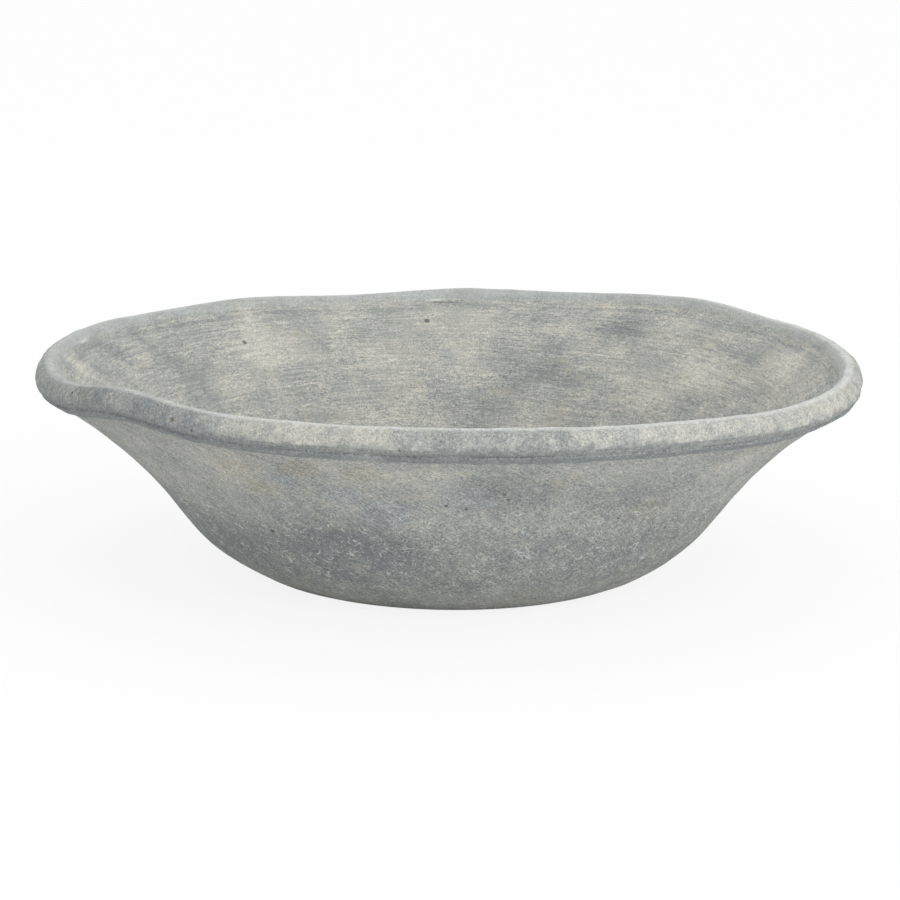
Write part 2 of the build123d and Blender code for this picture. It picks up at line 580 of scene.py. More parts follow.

# %% [markdown]
# ## Hand marks in the clay
# The surface of hand-built clay is never even: the wall swells and sinks by a millimetre over a hand's
# width, a rib leaves faint rings inside, fingers leave dents along the roll. All of them are real shape, a
# push along the outward direction, so that they show in the outline as well as in the light.
# The noise for the rings changes quickly along the section and slowly round it, which draws it out to rings.

# %% Depths of the hand marks in millimetres
swell_depth = 0.55
dent_depth = 0.22
ring_depth = 0.16
finger_depth = 0.85
knuckle_depth = 0.45
groove_depth = 1.5
groove_least = 0.12
groove_places = [
    # bearing, reach, share of the depth
    (345.0, 50.0, 0.9),
    (160.0, 35.0, 0.35),
    (60.0, 40.0, 0.2),
]
ragged_slide = 2.4
nicks = [
    # bearing, radius, level, reach along, reach across, depth (a ridge has a negative one)
    (235.8, 279.5, 139.0, 4.0, 1.6, 1.6),
    (331.5, 278.5, 134.5, 5.0, 2.5, 1.5),
    (91.0, 261.0, 141.5, 12.0, 1.6, -1.1),
    (91.0, 259.6, 138.6, 12.0, 1.6, 1.3),
    (50.0, 262.0, 142.0, 11.0, 1.8, -0.8),
    (50.0, 260.0, 139.0, 11.0, 1.8, 0.9),
    (169.5, 262.5, 143.0, 9.0, 2.2, -2.2),
    (169.5, 258.6, 139.4, 9.0, 1.8, 1.8),
    (174.5, 250.5, 132.0, 4.5, 7.0, -0.7),
    (178.0, 244.0, 126.5, 2.2, 8.0, 0.8),
]


def spot_place(bearing, radius, level):
    """Place in metres of a bearing, a radius and a level."""
    turn = math.radians(bearing)
    return radius * MM * math.cos(turn), radius * MM * math.sin(turn), level * MM


def apart_along(place, bearing, radius, level):
    """How far a place lies from a spot: its slide round the bowl, and its other distance squared."""
    turn = math.radians(bearing)
    apart = place.move("SUBTRACT", spot_place(bearing, radius, level))
    slid = apart.move("DOT_PRODUCT", (-math.sin(turn), math.cos(turn), 0.0), "Value")
    beside = apart.move("DOT_PRODUCT", apart, "Value") - slid * slid
    return slid, beside.math("MAXIMUM", 0.0)


def facing(round_way, bearing, reach):
    """Soft share of the rim, 1 at a bearing and 0 past its reach in degrees."""
    turn = math.radians(bearing)
    toward = round_way.move("DOT_PRODUCT", (math.cos(turn), math.sin(turn), 0.0), "Value")
    return toward.cut(math.cos(math.radians(reach)), 1.0)


def push_out(place, round_way, weights):
    """How far, in metres, the hand marks push the surface out at a place."""
    swell = place.noise(0.085, 1.0) * swell_depth + place.noise(0.021, 1.0) * dent_depth
    ring_place = round_way.scaled(0.09).move("ADD", place.vector(0.0, 0.0, weights["along"] * 9.0))
    rings = ring_place.noise(0.045, 2.0) * ring_depth * weights["rings"]
    finger_place = round_way.scaled(0.28).move("ADD", place.vector(0.0, 0.0, weights["along"] * 1.1))
    fingers = finger_place.noise(0.034, 1.0) * finger_depth + place.noise(0.009, 3.0, 0.6) * knuckle_depth
    deep = groove_least
    for bearing, reach, share in groove_places:
        deep = facing(round_way, bearing, reach) * share + deep
    groove = weights["groove"] * (deep * groove_depth + place.noise(0.03) * 0.25)
    return ((swell + rings) * weights["marks"] + fingers * weights["finger"] - groove) * MM


print("hand marks up to", swell_depth + dent_depth + finger_depth, "mm")

# %% [markdown]
# ## The ring of clay, as a node tree
# One tree makes all four pieces. It takes a section as its geometry, lays out a grid with one row for each
# spot and one column for each step round, reads every spot's weights, and bends the grid into a ring. The
# ends of the grid then lie on each other and are merged, which closes the ring both ways. Geometry Nodes
# suit this, because the steps and the material can be changed without touching the sections.

# %% Build the tree
weight_names = ["radius", "level", "give", "out_r", "out_z"]
weight_names += ["marks", "skin", "along", "rings", "finger", "groove", "ragged"]
kept_weights = ["skin", "along"]     # the finishes read these two
merge_distance = 2e-6

ring_tree = bpy.data.node_groups.new("Clay ring", "GeometryNodeTree")
ring_tree.interface.new_socket("Section", in_out="INPUT", socket_type="NodeSocketGeometry")
steps_input = ring_tree.interface.new_socket("Steps Round", in_out="INPUT", socket_type="NodeSocketInt")
clay_input = ring_tree.interface.new_socket("Clay", in_out="INPUT", socket_type="NodeSocketMaterial")
sharp_input = ring_tree.interface.new_socket("Sharp Angle", in_out="INPUT", socket_type="NodeSocketFloat")
ring_tree.interface.new_socket("Ring", in_out="OUTPUT", socket_type="NodeSocketGeometry")


def build_ring_tree():
    """Fills the tree that turns a section into a wavy ring."""
    bench = Wire(ring_tree)
    given = bench.node("NodeGroupInput", output="Section")
    steps = given.other("Steps Round")
    settings = {"component": "MESH"}
    rows = bench.node("GeometryNodeAttributeDomainSize", settings, {"Geometry": given}, "Point Count")
    inputs = {"Size X": steps, "Size Y": rows - 1.0, "Vertices X": steps + 1.0, "Vertices Y": rows}
    sheet = bench.node("GeometryNodeMeshGrid", None, inputs, "Mesh")
    across, upward, _ = bench.node("GeometryNodeInputPosition").parts()
    row = (upward + (rows - 1.0) / 2.0).math("ROUND")
    point_settings = {"data_type": "FLOAT", "domain": "POINT"}

    def kept(name):
        """A weight read by its name."""
        settings = {"data_type": "FLOAT"}
        return bench.node("GeometryNodeInputNamedAttribute", settings, {"Name": name}, "Attribute")

    weights = {}
    for name in weight_names:
        inputs = {"Geometry": given, "Value": kept(name), "Index": row}
        weights[name] = bench.node("GeometryNodeSampleIndex", point_settings, inputs, "Value")
    weights["bearing"] = (across + steps / 2.0) / steps * (2.0 * math.pi)
    for name, weight in weights.items():
        inputs = {"Geometry": sheet, "Name": name, "Value": weight}
        sheet = bench.node("GeometryNodeStoreNamedAttribute", point_settings, inputs, "Geometry")

    turn = kept("bearing")
    lift = wave_sum(turn, height_waves) + pinch_sum(turn)
    sway = wave_sum(turn, plan_waves)
    round_way = bench.vector(turn.math("COSINE"), turn.math("SINE"), 0.0)
    ragged = round_way.scaled(rim_radius * MM).noise(0.022, 4.0, 0.65)
    slide = (ragged - 0.1) * kept("ragged") * ragged_slide
    far = (kept("radius") + kept("give") * sway - slide * rim_way[0]) * MM
    high = (kept("level") + kept("give") * lift - slide * rim_way[1]) * MM
    bent = bench.vector(far * turn.math("COSINE"), far * turn.math("SINE"), high)
    ring = bench.node("GeometryNodeSetPosition", None, {"Geometry": sheet, "Position": bent}, "Geometry")
    inputs = {"Geometry": ring, "Distance": merge_distance}
    ring = bench.node("GeometryNodeMergeByDistance", None, inputs, "Geometry")

    place = bench.node("GeometryNodeInputPosition")
    push = push_out(place, round_way, {name: kept(name) for name in weight_names})
    for bearing, radius, level, reach_along, reach_across, depth in nicks:
        slid, beside = apart_along(place, bearing, radius, level)
        share = slid * slid / (reach_along * MM) ** 2 + beside / (reach_across * MM) ** 2
        push = push - (share * -1.0).math("EXPONENT") * (depth * MM) * kept("marks")
    out_r = kept("out_r") * push
    out = bench.vector(out_r * turn.math("COSINE"), out_r * turn.math("SINE"), kept("out_z") * push)
    ring = bench.node("GeometryNodeSetPosition", None, {"Geometry": ring, "Offset": out}, "Geometry")
    for name in weights:
        if name not in kept_weights:
            inputs = {"Geometry": ring, "Name": name}
            ring = bench.node("GeometryNodeRemoveAttribute", None, inputs, "Geometry")
    inputs = {"Geometry": ring, "Shade Smooth": True}
    ring = bench.node("GeometryNodeSetShadeSmooth", None, inputs, "Geometry")
    angle = bench.node("GeometryNodeInputMeshEdgeAngle", output="Unsigned Angle")
    settings = {"data_type": "FLOAT", "operation": "GREATER_THAN"}
    is_sharp = bench.node("FunctionNodeCompare", settings, {"A": angle, "B": given.other("Sharp Angle")})
    settings = {"data_type": "BOOLEAN", "domain": "EDGE"}
    inputs = {"Geometry": ring, "Name": "sharp_edge", "Value": is_sharp}
    ring = bench.node("GeometryNodeStoreNamedAttribute", settings, inputs, "Geometry")
    ring = bench.node("GeometryNodeRealizeInstances", None, {"Geometry": ring}, "Geometry")
    inputs = {"Geometry": ring, "Material": given.other("Clay")}
    ring = bench.node("GeometryNodeSetMaterial", None, inputs, "Geometry")
    output = ring_tree.nodes.new("NodeGroupOutput")
    ring_tree.links.new(ring.socket, output.inputs["Ring"])


build_ring_tree()
print("ring tree", len(ring_tree.nodes), "nodes")

# %% [markdown]
# ## Clay finishes
# The bowl is terracotta under a lime wash: blue-grey and cream clouds, fine brush marks, a chalky bloom.
# Each finish is a stack of thin layers worked out from the place on the object, so it needs no unwrapping
# and shows no seam. First come the helpers that all three finishes share.

# %% Colour helpers
grain_size = 0.0016
speck_size = 0.0008
brushed_radius = 0.24       # where brush marks have their stated length
across_share = 0.72         # radius plus level, times this, grows like the length up the side
bump_depth = 0.0007
clay_specular = 0.28


def tone(red, green, blue):
    """Colour for a node from the three values that a paint program shows."""
    linear = []
    for value in (red, green, blue):
        share = value / 255.0
        linear.append(share / 12.92 if share <= 0.04045 else ((share + 0.055) / 1.055) ** 2.4)
    return (*linear, 1.0)


def blend(factor, under, over, mode="MIX"):
    """One colour laid over another by a factor; the mode COLOR changes the tint and keeps the light."""
    bench = factor if isinstance(factor, Wire) else under
    settings = {"data_type": "RGBA", "blend_type": mode}
    inputs = {"Factor_Float": factor, "A_Color": under, "B_Color": over}
    return bench.node("ShaderNodeMix", settings, inputs, "Result_Color")


def shade(colour, amount):
    """A colour made lighter or darker: amount 1 leaves it as it is."""
    inputs = {0: colour if isinstance(colour, Wire) else colour[:3], "Scale": amount}
    return amount.node("ShaderNodeVectorMath", {"operation": "SCALE"}, inputs)


class Finish:
    """A clay material in the making, with the wires that every layer reads."""

    def __init__(self, name):
        self.material = bpy.data.materials.new(name)
        self.bench = cleared(self.material)
        self.place = self.bench.node("ShaderNodeTexCoord", output="Object")
        x, y, self.level = self.place.parts()
        self.radius = (x * x + y * y).math("SQRT")
        self.round_x = x / self.radius
        self.round_y = y / self.radius
        self.round_way = self.bench.vector(self.round_x, self.round_y, 0.0)
        self.skin = self.bench.node("ShaderNodeAttribute", {"attribute_name": "skin"}, None, "Fac")
        self.along = self.bench.node("ShaderNodeAttribute", {"attribute_name": "along"}, None, "Fac")
        self.grain = self.place.noise(grain_size, 3.0, 0.6)
        self.speck = self.place.noise(speck_size, 2.0, 0.6)

    def brushed(self, length, pitch, detail=2.0, lean=0.0, roughness=0.5):
        """Noise drawn out round the bowl: marks of a length round it and a pitch across it, in metres."""
        stretch = brushed_radius * pitch / length
        across = (self.radius + self.level) * across_share
        if lean:
            across = across + self.round_x * lean
        where = self.bench.vector(self.round_x * stretch, self.round_y * stretch, across)
        return where.noise(pitch, detail, roughness)

    def clouds(self, *layers):
        """Sum of noises: size, detail, roughness, twist and strength of each."""
        total = 0.0
        for size, detail, roughness, twist, strength in layers:
            total = self.place.noise(size, detail, roughness, twist) * strength + total
        return total

    def near(self, bearing, radius, level, reach, flat=1.0):
        """Soft patch, 1 in its middle and 0 at its reach; places in mm. It is wider round than across."""
        slid, beside = apart_along(self.place, bearing, radius, level)
        return (beside * flat * flat + slid * slid).math("SQRT").cut(reach * MM, 0.0)

    def facing(self, bearing, reach):
        """Soft share of the way round, 1 at a bearing and 0 past its reach in degrees."""
        return facing(self.round_way, bearing, reach)

    def line(self, start, end, wide):
        """Soft line from start to end, in metres, with a half width."""
        way = Vector(end) - Vector(start)
        apart = self.place.move("SUBTRACT", start)
        share = apart.move("DOT_PRODUCT", tuple(way), "Value") / way.length_squared
        share = share.math("MAXIMUM", 0.0).math("MINIMUM", 1.0)
        nearest = self.bench.vector(*way).scaled(share)
        ends = share.cut(0.0, 0.3) * share.cut(1.0, 0.7)
        return apart.move("DISTANCE", nearest, "Value").cut(wide, wide * 0.3) * ends

    def pits(self, size, share, width, seed):
        """Mask of small pits: one in each cell of a size, kept in a share of the cells."""
        where = self.place.move("ADD", (seed * 0.37, seed * 0.11, seed * 0.23))
        inputs = {"Vector": where, "Scale": 1.0 / size}
        away = self.bench.node("ShaderNodeTexVoronoi", {"feature": "F1"}, inputs, "Distance")
        split = self.bench.node("ShaderNodeSeparateColor", None, {0: away.other("Color")}, "Red")
        wide = split.other("Green") * 0.7 + 0.5
        return (away / wide).cut(width / size, width / size * 0.4) * split.math("LESS_THAN", share)

    def done(self, colour, rough, height):
        """Joins colour, roughness and bump to the shader and gives the material."""
        inputs = {"Strength": 1.0, "Distance": bump_depth, "Height": height}
        normal = self.bench.node("ShaderNodeBump", None, inputs, "Normal")
        inputs = {"Base Color": colour, "Roughness": self.grain * 0.04 + rough, "Normal": normal}
        inputs["Specular IOR Level"] = clay_specular
        self.bench.node("ShaderNodeBsdfPrincipled", None, inputs).end("ShaderNodeOutputMaterial")
        return self.material


print("finish helpers ready")

# %% [markdown]
# ## The wash as light and dark
# One ramp from slate through grey and buff to cream gives every wash on the bowl its colour. A layer only has
# to say how light the wash is at a place, so layers can simply be added up, and the colours stay in family.

# %% Wash colours
slate = tone(122, 127, 128)
grey = tone(154, 157, 155)
buff = tone(183, 183, 176)
cream = tone(211, 208, 196)
# chalk is the pale wash and also painted highlight on the crest and ridges; soot darkens pits and also paints
# shade in hollows
chalk_and_highlight = tone(222, 223, 219)
soot_and_shade_grey = tone(82, 86, 86)
stain_warm = tone(187, 179, 159)
stain_cool = tone(139, 148, 155)
rust = tone(118, 106, 86)
sand = tone(192, 181, 153)
steel = tone(130, 142, 153)


def wash(finish, lighter):
    """Colour of the wash by how light it is, about -1 to 1."""
    settings = {"stops": [(0.0, slate), (0.38, grey), (0.68, buff), (1.0, cream)]}
    return finish.bench.node("ShaderNodeValToRGB", settings, {"Fac": lighter * 0.5 + 0.5}, "Color")


def stained(finish, colour, share=1.0):
    """Colour with small warm and cool stains, as the wash soaks in unevenly."""
    warm = (finish.place.noise(0.026, 4.0, 0.65, 0.5) + finish.grain * 0.35).cut(0.20, 1.10)
    cool = (finish.place.noise(0.034, 4.0, 0.62, 0.5) + finish.speck * 0.25).cut(0.20, 1.10)
    colour = blend(warm * (0.42 * share), colour, stain_warm)
    return blend(cool * (0.38 * share), colour, stain_cool)


def add_patches(finish, patches):
    """Sum of the listed soft patches."""
    total = 0.0
    for bearing, radius, level, reach, flat, lighter in patches:
        total = finish.near(bearing, radius, level, reach, flat) * lighter + total
    return total


print("wash colours ready")

# %% [markdown]
# ## Brushed inside
# Inside, the wash was brushed round the bowl, so fine light and dark lines lie over slow clouds. The lines
# come from noise stretched round the axis. They are strong where the wash was kept and faint where it was
# rubbed smooth and dark. Larger patches are placed where the real bowl is markedly lighter or darker.

# %% Inside wash
inside_patches = [
    # bearing, radius, level, reach, flatness, lighter (+) or darker (-)
    (150.0, 236.0, 120.0, 60.0, 1.6, -0.25),
    (128.0, 232.0, 117.0, 60.0, 1.6, 0.40),
    (104.0, 225.0, 110.0, 50.0, 1.6, 0.20),
    (73.0, 212.0, 97.0, 60.0, 1.8, -0.42),
    (58.0, 246.0, 128.0, 44.0, 2.0, -0.95),
    (76.0, 250.0, 131.0, 30.0, 2.4, -0.42),
    (179.0, 255.0, 136.0, 25.0, 1.3, 0.85),
    (163.0, 247.0, 129.0, 34.0, 1.6, -0.40),
    (34.0, 225.0, 108.0, 42.0, 1.5, 0.62),
    (14.0, 243.0, 126.0, 46.0, 1.5, 0.65),
    (27.0, 242.0, 125.0, 26.0, 1.5, -0.25),
    (45.0, 205.0, 90.0, 40.0, 1.5, 0.30),
    (84.0, 190.0, 72.0, 50.0, 1.8, -0.30),
]


def inside_wash(finish):
    """How light the brushed wash is, and how high its strokes stand."""
    fine = finish.brushed(0.0075, 0.0014, 3.0, roughness=0.65)
    long = finish.brushed(0.060, 0.0024, 2.0)
    clouds = finish.clouds((0.075, 3.0, 0.55, 0.4, 0.24), (0.024, 4.0, 0.65, 0.3, 0.30))
    kept = (finish.place.noise(0.034, 4.0, 0.62, 0.4) + long * 0.3).cut(-1.0, 0.35)
    lines = (fine * 0.62 + long * 0.26 + finish.grain * 0.70) * (kept * 0.65 + 0.40)
    lighter = clouds + add_patches(finish, inside_patches) + lines + (kept - 0.6) * 0.30
    return lighter + 0.12, fine * 0.25 + long * 0.15


print("inside patches", len(inside_patches))

# %% [markdown]
# ## Dabbed outside
# Outside, the wash was dabbed on and wiped off again. It is blotchier, with short strokes that lean, a grain
# like fine sandpaper, patches of sand and steel colour, and low down, on a belt darkened with painted shade,
# pale hairlines where the wash crazed as it dried. The hairlines are the places where a twisted noise crosses
# zero.

# %% Outside wash
outside_patches = [
    # bearing, radius, level, reach, flatness, lighter (+) or darker (-)
    (263.0, 250.0, 114.0, 60.0, 1.8, 0.30),
    (236.0, 243.0, 108.0, 55.0, 1.3, 0.25),
    (301.0, 225.0, 90.0, 60.0, 1.5, -0.35),
    (280.0, 238.0, 103.0, 60.0, 1.6, -0.40),
    (258.0, 195.0, 55.0, 50.0, 1.6, -0.25),
    (250.0, 200.0, 62.0, 60.0, 1.5, -0.25),
    (292.0, 190.0, 48.0, 50.0, 1.5, 0.20),
    (222.0, 180.0, 35.0, 50.0, 1.3, -0.20),
    (315.0, 240.0, 104.0, 40.0, 1.3, 0.20),
]
outside_tints = [
    # bearing, radius, level, reach, flatness, colour, share
    (237.1, 245.6, 110.0, 26.0, 1.4, sand, 0.30),
    (238.9, 230.5, 96.2, 22.0, 1.2, sand, 0.28),
    (248.8, 252.6, 115.8, 26.0, 1.6, sand, 0.28),
    (258.0, 250.7, 114.2, 24.0, 1.6, sand, 0.28),
    (245.1, 238.8, 104.0, 22.0, 1.4, steel, 0.30),
    (253.4, 230.3, 96.0, 26.0, 1.3, steel, 0.30),
    (259.7, 218.1, 83.6, 34.0, 1.3, steel, 0.34),
    (273.1, 231.8, 97.6, 34.0, 1.4, steel, 0.26),
    (305.0, 215.0, 80.0, 30.0, 1.3, sand, 0.22),
]
hairline_top = 0.108        # no hairline is above this level, in metres
hairline_low = 0.070        # and none is faded below this one


def outside_wash(finish):
    """How light the dabbed wash is, darkened low down by painted shade, how high it stands, and its
    hairlines.
    """
    strokes = finish.brushed(0.010, 0.0020, 3.0, lean=0.25, roughness=0.6)
    dabs = finish.place.noise(0.0050, 3.0, 0.65, 0.4)
    clouds = finish.clouds((0.060, 3.0, 0.55, 0.4, 0.20), (0.020, 4.0, 0.65, 0.3, 0.26))
    marks = strokes * 0.32 + dabs * 0.26 + finish.grain * 0.80
    lighter = clouds + add_patches(finish, outside_patches) + marks
    curl = finish.place.noise(0.0080, 1.0, 0.5, 1.8).math("ABSOLUTE").cut(0.16, 0.03)
    worm = finish.place.noise(0.0046, 1.0, 0.5, 1.2).math("ABSOLUTE").cut(0.17, 0.03)
    where = finish.place.noise(0.011, 3.0, 0.6).cut(-0.25, 0.35)
    where = where * finish.level.cut(hairline_top, hairline_low)
    curl = (curl + worm * finish.place.noise(0.015, 2.0).cut(0.2, 0.8) * 0.6).math("MINIMUM", 1.0)
    # painted shade: a belt low on the outside, where the wall faces down, is made darker
    low_painted_shade = finish.level.cut(0.082, 0.050) * finish.level.cut(0.012, 0.030)
    return lighter - 0.03 - low_painted_shade * 0.46, strokes * 0.14 + dabs * 0.12, curl * where


print("outside patches", len(outside_patches))

# %% [markdown]
# ## Pits, cracks and scratches
# Terracotta has small holes where grit or a bubble sat, and this bowl has a few marks that catch the eye. A
# pit is a soft ball of dark colour that also lowers the bump, and a scratch is the space near a short line.
# Some of the lines are painted highlight and painted shade on the two sides of a wrinkle or ridge.

# %% Placed marks
dust_share = 0.45           # how strongly the small scattered pits are tinted
placed_pits = [
    # bearing, radius, level, reach, tint
    (269.5, 225.9, 91.8, 2.2, soot_and_shade_grey),
    (272.6, 223.7, 89.5, 1.9, soot_and_shade_grey),
    (278.0, 236.0, 101.5, 2.4, rust),
    (278.8, 231.6, 97.3, 2.2, rust),
    (267.9, 235.3, 100.7, 1.6, rust),
    (269.2, 253.7, 116.7, 1.8, rust),
    (258.3, 251.9, 115.2, 1.8, rust),
    (235.9, 198.2, 60.1, 2.6, soot_and_shade_grey),
    (313.7, 198.6, 60.5, 2.2, soot_and_shade_grey),
    (299.8, 210.9, 75.6, 1.8, soot_and_shade_grey),
    (94.5, 245.0, 127.5, 3.4, soot_and_shade_grey),
    (131.4, 236.3, 120.2, 3.4, soot_and_shade_grey),
    (40.7, 247.2, 129.2, 2.2, soot_and_shade_grey),
]
scratches_and_wrinkle_shading = [
    # from bearing, radius, level, to bearing, radius, level, half width, tint, share
    ((275.0, 206.0, 70.0), (277.8, 198.0, 60.0), 0.7, chalk_and_highlight, 0.5),
    # the next four: painted shade (soot) and painted highlight (chalk) on the two sides of the inside wrinkle
    ((171.6, 257.1, 137.0), (176.9, 250.1, 131.6), 1.3, soot_and_shade_grey, 0.45),
    ((176.9, 250.1, 131.6), (180.1, 237.5, 121.5), 1.3, soot_and_shade_grey, 0.45),
    ((170.0, 254.5, 135.1), (175.2, 247.5, 129.3), 1.2, chalk_and_highlight, 0.45),
    ((175.2, 247.5, 129.3), (178.6, 236.5, 120.6), 1.2, chalk_and_highlight, 0.40),
    ((38.0, 243.0, 126.0), (26.0, 237.0, 121.0), 0.8, chalk_and_highlight, 0.35),
    ((140.0, 243.0, 125.5), (122.0, 250.0, 131.0), 0.8, chalk_and_highlight, 0.30),
]


def add_pits(finish, colour, pits):
    """Colour with placed pits on it, and a mask of them."""
    holes = 0.0
    for bearing, radius, level, reach, tint in pits:
        mask = (finish.near(bearing, radius, level, reach) + finish.grain * 0.14).cut(0.25, 0.6)
        colour = blend(mask * 0.75, colour, tint)
        holes = mask + holes
    return colour, holes


def add_lines(finish, colour, lines):
    """Colour with placed lines on it: scratches, and painted highlight and painted shade along wrinkles and
    ridges.
    """
    for start, end, wide, tint, share in lines:
        mask = finish.line(spot_place(*start), spot_place(*end), wide * MM)
        colour = blend(mask * share, colour, tint)
    return colour


def add_tints(finish, colour, tints):
    """Colour with soft patches of other tints on it, as light as before."""
    mottle = finish.place.noise(0.009, 4.0, 0.7)
    for bearing, radius, level, reach, flat, tint, share in tints:
        mask = finish.near(bearing, radius, level, reach, flat)
        mask = (mask + mottle * 0.30).cut(0.10, 0.80) * mask.cut(0.0, 0.2) * share
        colour = blend(mask, colour, tint, "COLOR")
    return colour


print("placed pits", len(placed_pits), "scratches_and_wrinkle_shading", len(scratches_and_wrinkle_shading))

# %% [markdown]
# ## Washed clay
# Wall and slab share one finish, so the joint between them never shows. The weight `skin`, stored on the
# pieces, tells inside from outside, and `along`, the length along the section, finds the wall's two top
# edges, where painted shade darkens the wall beside the roll: a strip on the outside just under it, and the
# groove inside.

# %% Washed clay
inner_top = next(each["along"] for each in wall_section() if each["skin"] == 1.0)
# the painted shade on the outside under the roll and the smeared strip is darkest from here up
under_roll_shade_along = 0.1565          # where the outside is darkest under the roll, in metres along the section
print("the wall's inside starts", round(inner_top, 4), "m along its section")


def washed_clay():
    """Lime-washed clay, brushed inside and dabbed outside."""
    finish = Finish("washed clay")
    inside = finish.skin
    outside = 1.0 - inside
    lighter_in, height_in = inside_wash(finish)
    lighter_out, height_out, hair = outside_wash(finish)
    # painted shade: the outside darkens over the last few millimetres under the roll, along a ragged line
    ragged_shade_along = finish.along + finish.place.noise(0.012, 3.0, 0.6) * 0.0016
    lighter_out = lighter_out - ragged_shade_along.cut(under_roll_shade_along - 0.0037, under_roll_shade_along) * 0.6
    # painted shade: the inside darkens just under the roll, in the groove, on its upper part
    groove_shade = finish.along + finish.place.noise(0.020, 3.0) * 0.001
    groove_shade = groove_shade.cut(inner_top + 0.009, inner_top + 0.001) * finish.level.cut(0.08, 0.10)
    lighter_in = lighter_in - groove_shade * 0.24
    lighter = lighter_out + (lighter_in - lighter_out) * inside
    colour = stained(finish, wash(finish, lighter))
    colour = add_tints(finish, colour, outside_tints)
    colour = shade(colour, finish.speck * 0.20 + 1.0)
    colour = blend(hair * outside * 0.62, colour, chalk_and_highlight)
    dust = finish.pits(0.016, 0.35, 0.0011, 1.0) + finish.pits(0.034, 0.3, 0.0016, 2.0)
    colour = blend(dust.math("MINIMUM", 1.0) * dust_share, colour, soot_and_shade_grey)
    colour, holes = add_pits(finish, colour, placed_pits)
    colour = add_lines(finish, colour, scratches_and_wrinkle_shading)
    height = height_in * inside + (height_out + hair * 0.3) * outside
    height = height + finish.grain * 0.24 + finish.speck * 0.12
    return finish.done(colour, 0.9, height - holes * 1.2 - dust * 0.5)


washed = washed_clay()
print("washed clay", len(washed.node_tree.nodes), "nodes")

# %% [markdown]
# ## Rim clay
# The roll was handled most and then wiped: its inner face is smooth and pale, and along the far rim this pale
# face also stands for a painted highlight. A painted highlight runs along the crest, weaker at the left end
# and on the far side. The belly is blotched and carries a chalky bloom in grains, and the underside is
# darker, partly its dark wash and partly painted shade. The weight `skin` runs across the roll from 0 in the
# groove, past a third on the crest, to 1 underneath. Near the groove the brushed inside wash carries on over
# it without a break.

# %% Rim clay
rim_tones = [
    # bearing, reach in degrees, lighter (+) or darker (-)
    (214.0, 34.0, -0.55),
    (322.0, 30.0, 0.28),
    (252.0, 14.0, 0.25),
    (277.0, 9.0, -0.25),
    (296.0, 14.0, 0.15),
]
rim_marks = [
    # bearing, radius, level, reach, tint
    (233.1, 278.0, 142.8, 3.0, rust),
    (210.8, 277.9, 143.0, 2.0, soot_and_shade_grey),
    (236.2, 279.5, 138.8, 2.6, soot_and_shade_grey),
]
rim_ridge_highlights_and_shade = [
    # from bearing, radius, level, to bearing, radius, level, half width, tint, share
    # painted highlights (chalk) on the ridges of the fold and the nicks, painted shade (soot) in the hollows
    # beside them
    ((176.0, 263.8, 144.3), (166.0, 263.2, 143.6), 3.2, chalk_and_highlight, 0.95),
    ((166.8, 262.6, 142.9), (162.0, 261.2, 141.8), 2.6, soot_and_shade_grey, 0.60),
    ((95.0, 261.4, 141.4), (88.0, 261.8, 141.6), 1.3, chalk_and_highlight, 0.85),
    ((94.6, 260.3, 139.9), (88.4, 260.5, 140.1), 0.8, soot_and_shade_grey, 0.55),
    ((58.0, 263.5, 144.5), (51.5, 261.5, 142.5), 1.1, chalk_and_highlight, 0.65),
]


